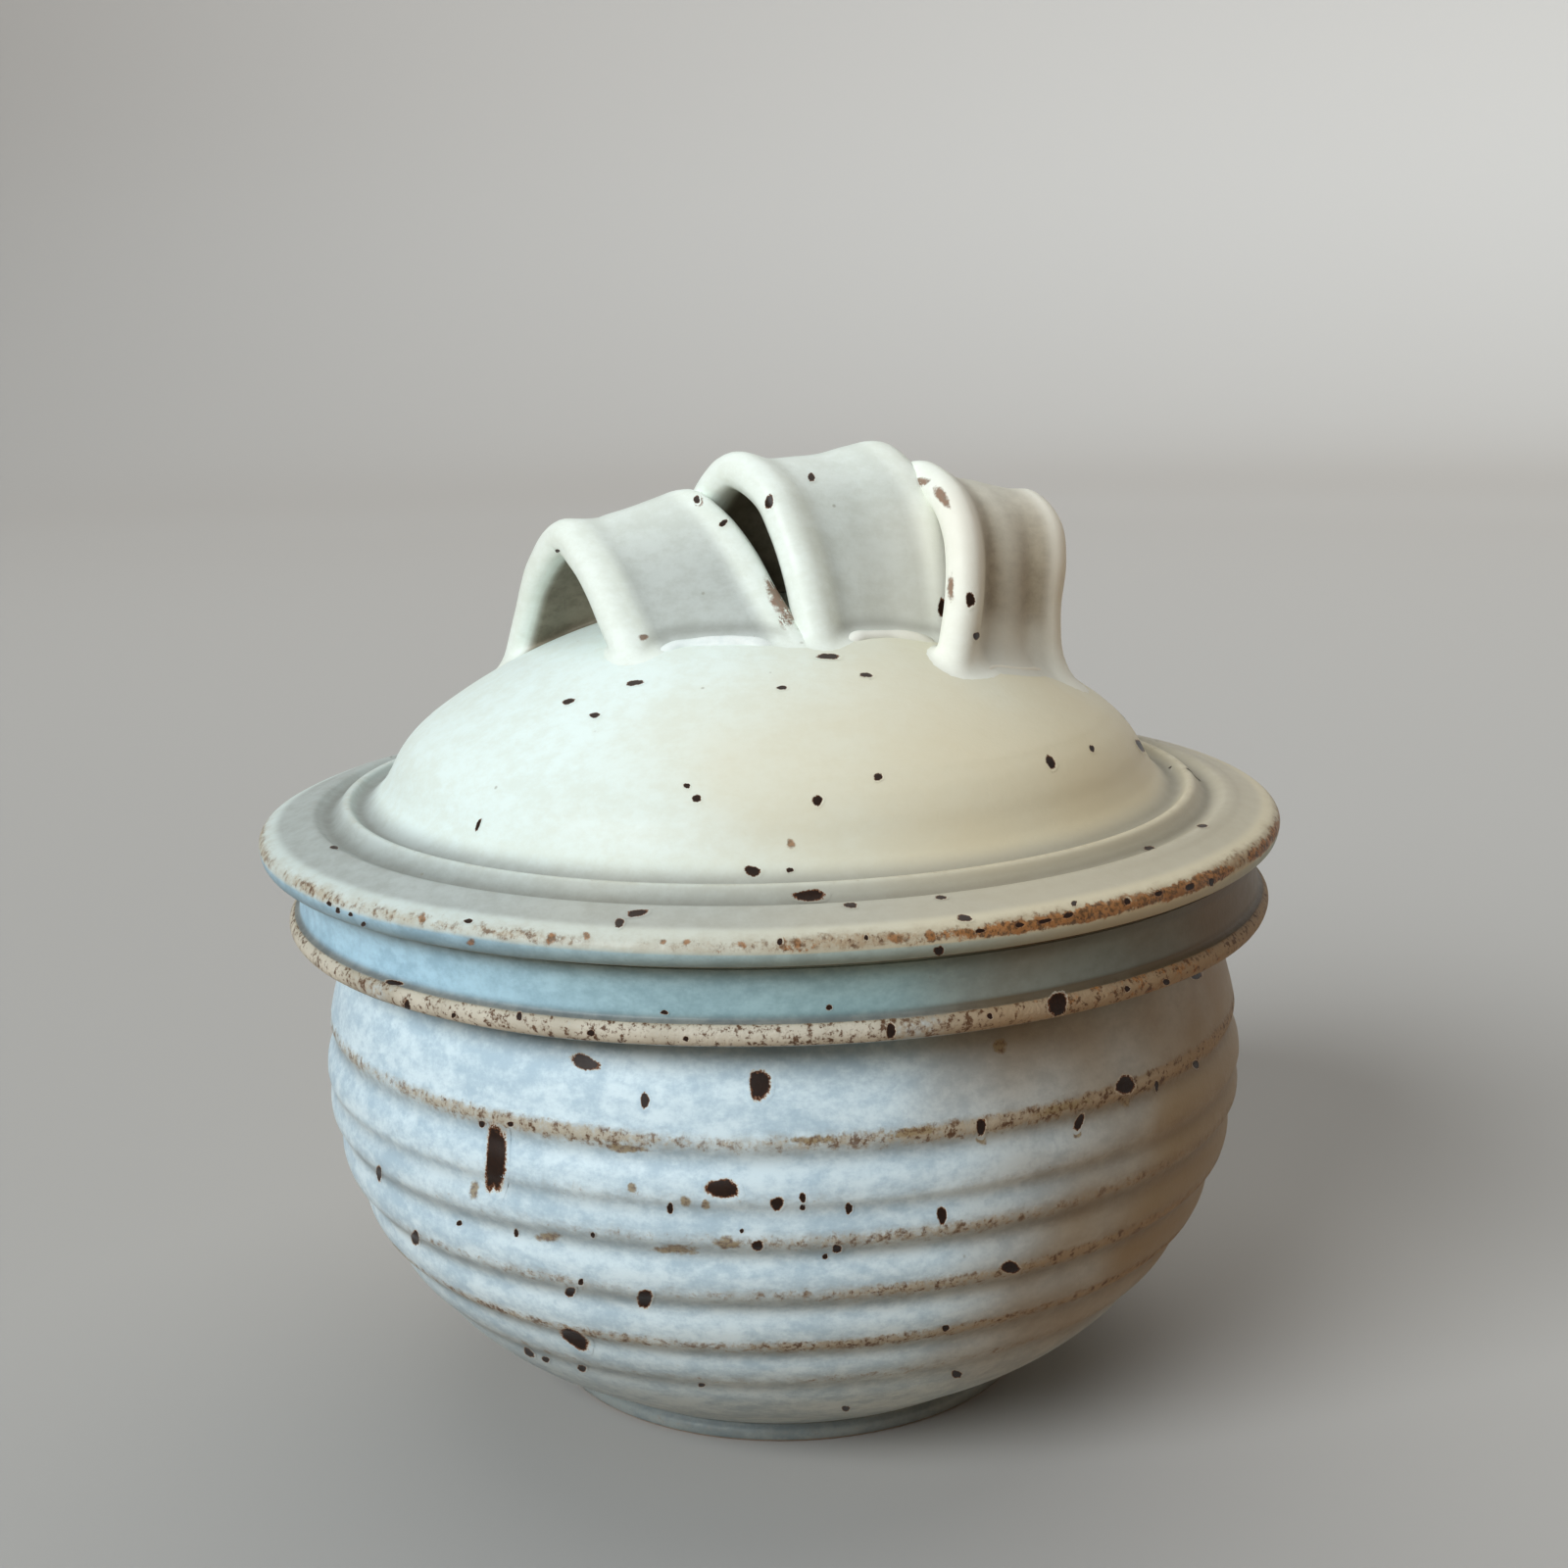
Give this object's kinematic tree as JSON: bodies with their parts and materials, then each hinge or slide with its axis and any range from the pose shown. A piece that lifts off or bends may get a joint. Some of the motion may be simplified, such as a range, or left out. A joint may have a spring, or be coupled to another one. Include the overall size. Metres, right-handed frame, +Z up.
{
  "type": "lidded bowl",
  "caption": "Round thrown stoneware bowl with a ledge under its collar and a loose domed lid whose handle is a row of slanting ribbon loops.",
  "frame": {"origin": "centre of the foot ring's underside, on the surface the bowl stands on", "axes": "+Z up along the bowl's axis, +X along the row of handle loops towards the right-hand loop, +Y to the back"},
  "size_m": [0.19, 0.19, 0.1754],
  "materials": {
    "bowl_glaze": "satin",
    "lid_glaze": "satin",
    "handle_glaze": "satin",
    "luting_glaze": "satin"
  },
  "bodies": {
    "bowl": {"bowl": "bowl_glaze"},
    "lid": {"lid": "lid_glaze", "handle_loop_left": "handle_glaze", "handle_loop_middle": "handle_glaze", "handle_loop_right": "handle_glaze", "left_loop_front_coil": "luting_glaze", "left_loop_rear_coil": "luting_glaze", "middle_loop_front_coil": "luting_glaze", "middle_loop_rear_coil": "luting_glaze", "right_loop_front_coil": "luting_glaze", "right_loop_rear_coil": "luting_glaze"}
  },
  "joints": [
    {"name": "lid_lift", "type": "slide", "parent": "bowl", "child": "lid", "axis": [0, 0, 1], "range_m": [0, 0.12]}
  ]
}
